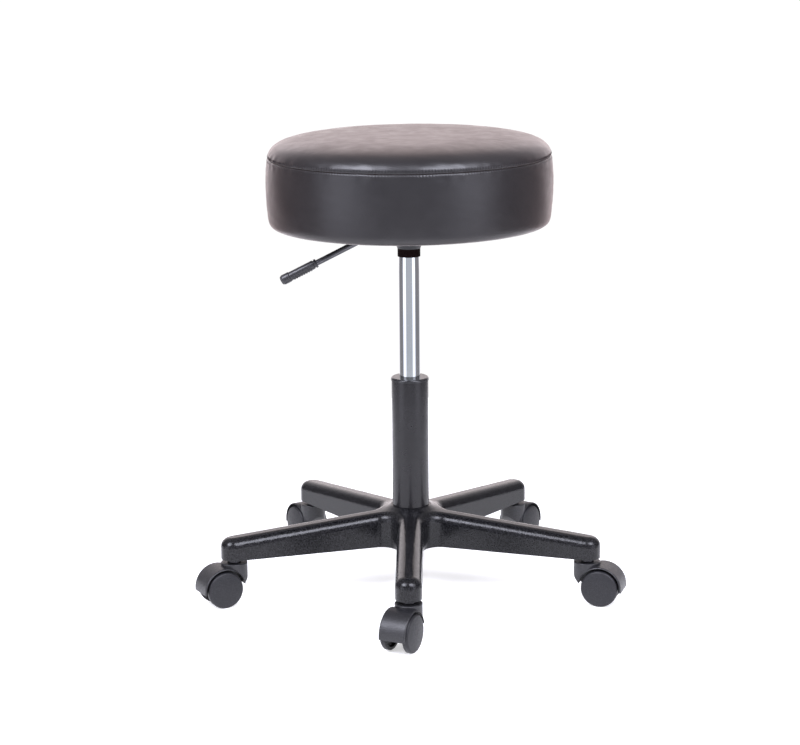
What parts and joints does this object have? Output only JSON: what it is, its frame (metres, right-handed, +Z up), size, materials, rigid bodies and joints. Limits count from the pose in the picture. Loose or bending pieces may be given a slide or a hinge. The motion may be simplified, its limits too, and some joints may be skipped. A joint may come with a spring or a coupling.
{
  "type": "pedicure stool",
  "caption": "Round cushioned swivel stool with a gas lift, release lever, star base and hooded twin-wheel casters.",
  "frame": {"origin": "on the floor, on the column axis", "axes": "+Z up along the column; -Y along the front leg; +X to the right seen from the front; the release lever points along -X"},
  "size_m": [0.5812, 0.557, 0.6252],
  "materials": {
    "vinyl": "black grained faux leather, soft satin gloss",
    "foam": "open-cell upholstery foam",
    "plywood": "raw plywood",
    "dust_cloth": "thin black non-woven cloth",
    "base_nylon": "black glass-filled nylon, fine grain",
    "caster_nylon": "dark grey textured nylon",
    "wheel_nylon": "dark grey nylon",
    "bushing_plastic": "black acetal",
    "grip_plastic": "black moulded plastic",
    "column_paint": "black semi-gloss powder coat",
    "plate_paint": "black powder coat",
    "lever_steel": "dark phosphated steel",
    "chrome": "polished chrome plate",
    "plain_steel": "zinc plated steel",
    "rubber": "black rubber"
  },
  "bodies": {
    "base": {"star_base": "base_nylon", "column_tube": "column_paint", "tube_end_plate": "plain_steel", "lower_bearing_race": "plain_steel", "bearing_balls": "plain_steel", "ball_cage": "bushing_plastic", "guide_bushing": "bushing_plastic", "caster_stems": "plain_steel", "stem_grip_rings": "plain_steel"},
    "rod": {"piston_rod": "chrome", "retaining_clip": "plain_steel", "upper_bearing_race": "plain_steel", "rubber_buffer": "rubber", "piston": "bushing_plastic", "piston_seal": "rubber"},
    "seat": {"pressure_cylinder": "chrome", "rod_guide": "bushing_plastic", "rod_seal": "rubber", "inner_tube": "plain_steel", "valve_body": "bushing_plastic", "rubber_collar": "rubber", "taper_socket": "plate_paint", "seat_plate": "plate_paint", "lever_bracket": "plate_paint", "lever_pivot_pin": "plain_steel", "seat_board": "plywood", "seat_foam": "foam", "cover_top_panel": "vinyl", "cover_side_band": "vinyl", "dust_cover": "dust_cloth", "staples": "plain_steel", "t_nuts": "plain_steel", "seat_washers": "plain_steel", "seat_bolts": "plain_steel"},
    "lever": {"lever_rod": "lever_steel", "lever_grip": "grip_plastic"},
    "release_pin": {"release_pin": "plain_steel"},
    "caster_front": {"caster_front_body": "caster_nylon", "caster_front_axle": "plain_steel"},
    "caster_front_left_wheel": {"caster_front_left_wheel": "wheel_nylon"},
    "caster_front_right_wheel": {"caster_front_right_wheel": "wheel_nylon"},
    "caster_right": {"caster_right_body": "caster_nylon", "caster_right_axle": "plain_steel"},
    "caster_right_left_wheel": {"caster_right_left_wheel": "wheel_nylon"},
    "caster_right_right_wheel": {"caster_right_right_wheel": "wheel_nylon"},
    "caster_rear_right": {"caster_rear_right_body": "caster_nylon", "caster_rear_right_axle": "plain_steel"},
    "caster_rear_right_left_wheel": {"caster_rear_right_left_wheel": "wheel_nylon"},
    "caster_rear_right_right_wheel": {"caster_rear_right_right_wheel": "wheel_nylon"},
    "caster_rear_left": {"caster_rear_left_body": "caster_nylon", "caster_rear_left_axle": "plain_steel"},
    "caster_rear_left_left_wheel": {"caster_rear_left_left_wheel": "wheel_nylon"},
    "caster_rear_left_right_wheel": {"caster_rear_left_right_wheel": "wheel_nylon"},
    "caster_left": {"caster_left_body": "caster_nylon", "caster_left_axle": "plain_steel"},
    "caster_left_left_wheel": {"caster_left_left_wheel": "wheel_nylon"},
    "caster_left_right_wheel": {"caster_left_right_wheel": "wheel_nylon"}
  },
  "joints": [
    {"name": "seat_swivel", "type": "hinge", "parent": "base", "child": "rod", "pos_m": [0, 0, 0.07], "axis": [0, 0, 1], "continuous": true},
    {"name": "seat_lift", "type": "slide", "parent": "rod", "child": "seat", "axis": [0, 0, 1], "range_m": [-0.14, 0]},
    {"name": "lever_lift", "type": "hinge", "parent": "seat", "child": "lever", "pos_m": [-0.027, 0, 0.5011], "axis": [0, 1, 0], "range_deg": [0, 9], "stiffness_Nm_per_rad": 6, "springref_deg": -2.86},
    {"name": "valve_press", "type": "slide", "parent": "seat", "child": "release_pin", "axis": [0, 0, 1], "range_m": [-0.0043, 0]},
    {"name": "caster_front_swivel", "type": "hinge", "parent": "base", "child": "caster_front", "pos_m": [0, -0.25, 0.058], "axis": [0, 0, 1], "continuous": true},
    {"name": "caster_front_left_wheel_spin", "type": "hinge", "parent": "caster_front", "child": "caster_front_left_wheel", "pos_m": [-0.00866, -0.26858, 0.025], "axis": [0.9063, -0.4226, 0], "continuous": true},
    {"name": "caster_front_right_wheel_spin", "type": "hinge", "parent": "caster_front", "child": "caster_front_right_wheel", "pos_m": [-0.00866, -0.26858, 0.025], "axis": [0.9063, -0.4226, 0], "continuous": true},
    {"name": "caster_right_swivel", "type": "hinge", "parent": "base", "child": "caster_right", "pos_m": [0.23776, -0.07725, 0.058], "axis": [0, 0, 1], "continuous": true},
    {"name": "caster_right_left_wheel_spin", "type": "hinge", "parent": "caster_right", "child": "caster_right_left_wheel", "pos_m": [0.25737, -0.08325, 0.025], "axis": [0.2924, 0.9563, 0], "continuous": true},
    {"name": "caster_right_right_wheel_spin", "type": "hinge", "parent": "caster_right", "child": "caster_right_right_wheel", "pos_m": [0.25737, -0.08325, 0.025], "axis": [0.2924, 0.9563, 0], "continuous": true},
    {"name": "caster_rear_right_swivel", "type": "hinge", "parent": "base", "child": "caster_rear_right", "pos_m": [0.14695, 0.20225, 0.058], "axis": [0, 0, 1], "continuous": true},
    {"name": "caster_rear_right_left_wheel_spin", "type": "hinge", "parent": "caster_rear_right", "child": "caster_rear_right_left_wheel", "pos_m": [0.15811, 0.21945, 0.025], "axis": [-0.8387, 0.5446, 0], "continuous": true},
    {"name": "caster_rear_right_right_wheel_spin", "type": "hinge", "parent": "caster_rear_right", "child": "caster_rear_right_right_wheel", "pos_m": [0.15811, 0.21945, 0.025], "axis": [-0.8387, 0.5446, 0], "continuous": true},
    {"name": "caster_rear_left_swivel", "type": "hinge", "parent": "base", "child": "caster_rear_left", "pos_m": [-0.14695, 0.20225, 0.058], "axis": [0, 0, 1], "continuous": true},
    {"name": "caster_rear_left_left_wheel_spin", "type": "hinge", "parent": "caster_rear_left", "child": "caster_rear_left_left_wheel", "pos_m": [-0.15811, 0.21945, 0.025], "axis": [-0.8387, -0.5446, 0], "continuous": true},
    {"name": "caster_rear_left_right_wheel_spin", "type": "hinge", "parent": "caster_rear_left", "child": "caster_rear_left_right_wheel", "pos_m": [-0.15811, 0.21945, 0.025], "axis": [-0.8387, -0.5446, 0], "continuous": true},
    {"name": "caster_left_swivel", "type": "hinge", "parent": "base", "child": "caster_left", "pos_m": [-0.23776, -0.07725, 0.058], "axis": [0, 0, 1], "continuous": true},
    {"name": "caster_left_left_wheel_spin", "type": "hinge", "parent": "caster_left", "child": "caster_left_left_wheel", "pos_m": [-0.25569, -0.08719, 0.025], "axis": [0.4848, -0.8746, 0], "continuous": true},
    {"name": "caster_left_right_wheel_spin", "type": "hinge", "parent": "caster_left", "child": "caster_left_right_wheel", "pos_m": [-0.25569, -0.08719, 0.025], "axis": [0.4848, -0.8746, 0], "continuous": true}
  ],
  "couplings": [
    {"joint": "valve_press", "follows": "lever_lift", "m_per_rad": -0.027}
  ]
}
